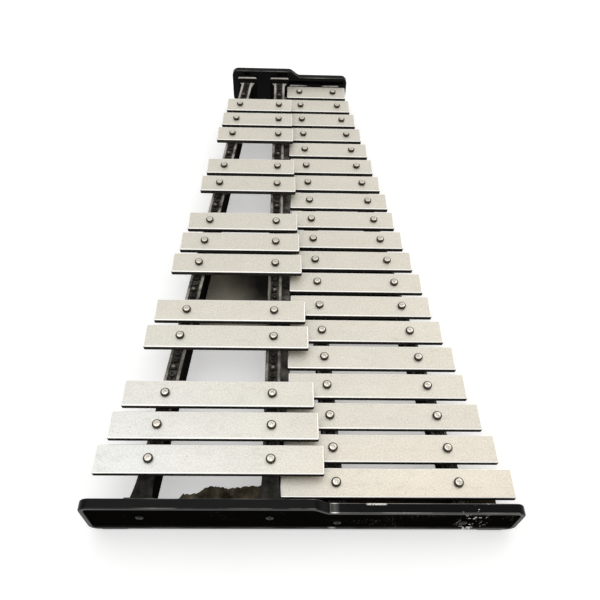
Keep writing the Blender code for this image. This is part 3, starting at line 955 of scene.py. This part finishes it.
def build_panel(node, facing, gloss, face):
    """Panel with rounded edges and a lipped rim round a recess in its outer face."""
    measures = panel_measures(node)
    low, high = measures[0], measures[1]
    inner, outer = (high.y, low.y) if facing < 0 else (low.y, high.y)
    r = PANEL_ROUND
    floor = outer - facing * PANEL_RECESS
    layers = [(r * (1 - s), inner + facing * r * (1 - c)) for s, c in quarter_turn(4)]
    layers += [(r * (1 - c), outer - facing * r * (1 - s)) for s, c in quarter_turn(4)]
    for s, c in quarter_turn(3):
        layers.append((PANEL_RIM - PANEL_LIP * (1 - s), outer - facing * PANEL_LIP * (1 - c)))
    for s, c in quarter_turn(3):
        layers.append((PANEL_RIM + PANEL_COVE * (1 - c), floor + facing * PANEL_COVE * (1 - s)))
    rings = [panel_ring(measures, inset, y) for inset, y in layers]
    bands = [0] * (len(rings) - 3) + [1, 1]
    mesh = shade(loft(node, rings, bands, 1))
    add_piece(f"{node}_shell", mesh, "frame", [gloss, face], [node])


def build_panel_screws(paint):
    for end, facing in (("low", -1), ("high", 1)):
        for rail in RAIL_NAMES:
            node = f"{end}_panel_screw_{rail}"
            low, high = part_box(node)
            radius = (high.x - low.x) / 2
            centre = (low + high) / 2
            head = PANEL_SCREW_HEAD
            length = (high.y - low.y) - head
            mesh = screw_mesh(node, radius, head, PANEL_SCREW_SHANK, length, PANEL_SCREW_RECESS)
            shade(mesh, 28)
            seat = (low.y + head) if facing < 0 else (high.y - head)
            lay = Matrix.Rotation(-facing * math.pi / 2, 4, "X")
            turn = Matrix.Rotation(RANDOM.uniform(0, math.pi), 4, "Z")
            moved(mesh, Matrix.Translation((centre.x, seat, centre.z)) @ lay @ turn)
            add_piece(f"{node}_head", mesh, "frame", [paint], [node])


def build_feet(rubber):
    for end in ("low", "high"):
        for side in ("left", "right"):
            node = f"{end}_{side}_foot"
            centre, size = place_of(node)
            outline = rounded(rectangle(size.x, size.y), FOOT_CORNER, 5)
            mesh = slab(node, [outline], size.z, FOOT_EDGE)
            moved(mesh, Matrix.Translation(centre))
            add_piece(f"{node}_pad", shade(mesh, 40), "frame", [rubber], [node])


def corner_outline(node):
    """Plan outline of a flat CAD node from its four extreme corners."""
    points = [v.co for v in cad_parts[node].data.vertices]
    result = []
    for sy, sx in ((-1, -1), (-1, 1), (1, 1), (1, -1)):
        edge = max(sy * p.y for p in points)
        row = [p for p in points if sy * p.y > edge - 1e-4]
        result.append((max(sx * p.x for p in row) * sx, edge * sy))
    return result


def build_cross_plate(plastic):
    low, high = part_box("cross_plate")
    outline = rounded(corner_outline("cross_plate"), CROSS_PLATE_CORNER, 5)
    mesh = slab("cross_plate", [outline], high.z - low.z, CROSS_PLATE_EDGE)
    moved(mesh, Matrix.Translation((0, 0, (low.z + high.z) / 2)))
    add_piece("cross_plate_panel", shade(mesh), "frame", [plastic], ["cross_plate"])


def tear_at(share):
    """The torn web's depth, as a share of the whole, between the points of WEB_TEAR."""
    pairs = zip(WEB_TEAR, WEB_TEAR[1:])
    (a, depth_a), (b, depth_b) = next(pair for pair in pairs if share <= pair[1][0])
    return depth_a + (depth_b - depth_a) * (share - a) / (b - a)


def build_web(plastic):
    """Bottom web: straight under the natural bars, torn unevenly between the accidental rails."""
    low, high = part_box("low_end_web")
    depth = high.y - low.y
    turn = RAIL_LINES["accidental_inner"](low.y) - RAIL_HALF_WIDTH
    straight = low.y + depth * WEB_NATURAL_SHARE
    outline = [(low.x, low.y), (high.x, low.y), (high.x, straight)]
    outline.append((turn + 2 * RAIL_HALF_WIDTH, straight))
    steps = 56
    for step in range(steps + 1):
        share = step / steps
        ragged = RANDOM.uniform(-WEB_RAGGED, 0.0) if 0 < step < steps else 0.0
        reach = min(1.0, tear_at(share) + ragged)
        outline.append((turn + (low.x - turn) * share, low.y + depth * reach))
    mesh = slab("low_end_web", [outline], high.z - low.z, WEB_EDGE, 1)
    moved(mesh, Matrix.Translation((0, 0, (low.z + high.z) / 2)))
    add_piece("low_end_web_plate", shade(mesh), "frame", [plastic], ["low_end_web"])


# ---------------------------------------------------------------- studio


def build_floor():
    mesh = bpy.data.meshes.new("studio_floor")
    corners = [(x, y, 0) for x, y in rectangle(2 * FLOOR_HALF, 2 * FLOOR_HALF)]
    mesh.from_pydata(corners, [], [(0, 1, 2, 3)])
    floor = bpy.data.objects.new("studio_floor", mesh)
    bpy.context.scene.collection.objects.link(floor)
    mesh.materials.append(floor_material())


def area_light(name, location, target, side, radiance, colour):
    """Square soft light of an even radiance, aimed at a target."""
    light = bpy.data.lights.new(name, "AREA")
    light.shape = "RECTANGLE"
    light.size = light.size_y = side
    light.energy = radiance * math.pi * side * side
    light.color = colour
    obj = bpy.data.objects.new(name, light)
    obj.location = location
    aim = Vector(target) - Vector(location)
    obj.rotation_euler = aim.to_track_quat("-Z", "Y").to_euler()
    bpy.context.scene.collection.objects.link(obj)


def build_lights():
    area_light("key_softbox", (0.7, 0.5, 0.9), (0.0, -0.1, 0.03), 0.5, 1.4, (1.0, 0.95, 0.88))
    area_light("overhead_softbox", (-0.3, -0.1, 1.5), (0, -0.1, 0), 1.2, 0.8, (0.97, 0.99, 1.0))


def build_world():
    """Grey gradient for the light on the object, and plain white behind it for the camera."""
    world = bpy.data.worlds.new("studio")
    bpy.context.scene.world = world
    world.use_nodes = True
    tree = world.node_tree
    tree.nodes.clear()
    out = tree.nodes.new("ShaderNodeOutputWorld")
    coordinates = tree.nodes.new("ShaderNodeTexCoord")
    split = tree.nodes.new("ShaderNodeSeparateXYZ")
    tree.links.new(coordinates.outputs["Generated"], split.inputs[0])
    ramp = tree.nodes.new("ShaderNodeValToRGB")
    tree.links.new(split.outputs["Z"], ramp.inputs[0])
    elements = ramp.color_ramp.elements
    while len(elements) < len(SKY_STOPS):
        elements.new(0.5)
    for element, (position, value) in zip(elements, SKY_STOPS):
        element.position = position
        element.color = (*(value * tint for tint in SKY_TINT), 1.0)
    lit = tree.nodes.new("ShaderNodeBackground")
    tree.links.new(ramp.outputs[0], lit.inputs["Color"])
    pale = tree.nodes.new("ShaderNodeBackground")
    pale.inputs["Color"].default_value = (1.0, 1.0, 1.0, 1.0)
    path = tree.nodes.new("ShaderNodeLightPath")
    mix = tree.nodes.new("ShaderNodeMixShader")
    tree.links.new(path.outputs["Is Camera Ray"], mix.inputs[0])
    tree.links.new(lit.outputs[0], mix.inputs[1])
    tree.links.new(pale.outputs[0], mix.inputs[2])
    tree.links.new(mix.outputs[0], out.inputs["Surface"])


def build_camera():
    low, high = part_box("bar_F5")
    y = (low.y + high.y) / 2
    start = (RAIL_LINES["accidental_inner"](y), y, high.z)
    camera = bpy.data.cameras.new("camera")
    camera.lens = CAMERA_LENS
    camera.sensor_width = CAMERA_SENSOR
    obj = bpy.data.objects.new("camera", camera)
    obj.location = [value + offset for value, offset in zip(start, CAMERA_PLACE)]
    obj.rotation_euler = CAMERA_TURN
    bpy.context.scene.collection.objects.link(obj)
    bpy.context.scene.camera = obj


def build():
    gloss = gloss_material()
    face = panel_face_material()
    strip_rubber = rubber_material("strip_rubber", (0.012, 0.0115, 0.0105), (0.2, 0.19, 0.165), 0.9)
    foot_rubber = rubber_material("foot_rubber", (0.02, 0.02, 0.02), (0.16, 0.155, 0.14), 0.5)
    rail_plastic = dusty_plastic(
        "rail_plastic", dark=(0.009, 0.0085, 0.008), dust=(0.42, 0.395, 0.345), amount=1.35,
        roughness=0.42, scale=1.0, film_span=("Y", -0.31, -0.2, 0.12, 1.0))
    # The web's film fades out towards its natural side, so the part under the natural bars stays
    # dark.
    web_plastic = dusty_plastic(
        "web_plastic", dark=(0.025, 0.021, 0.015), dust=(0.25, 0.205, 0.14), amount=1.2,
        roughness=0.5, scale=1.3, film_span=("X", -0.004, -0.02, 0.03, 1.0))
    build_bars(bar_material())
    build_bar_screws(steel_material("zinc_steel", BAR_SCREW_RADIUS, (0.8, 0.76, 0.68)))
    build_strips(strip_rubber, steel_material("stud_steel", STUD_RADIUS, (0.16, 0.15, 0.13)))
    build_rails(rail_plastic)
    build_panel("low_end_panel", -1, gloss, face)
    build_panel("high_end_panel", 1, gloss, face)
    build_panel_screws(painted_screw_material())
    build_feet(foot_rubber)
    build_cross_plate(plate_material())
    build_web(web_plastic)
    build_floor()
    build_world()
    build_lights()
    build_camera()
    bpy.context.scene.view_settings.view_transform = "Standard"


build()
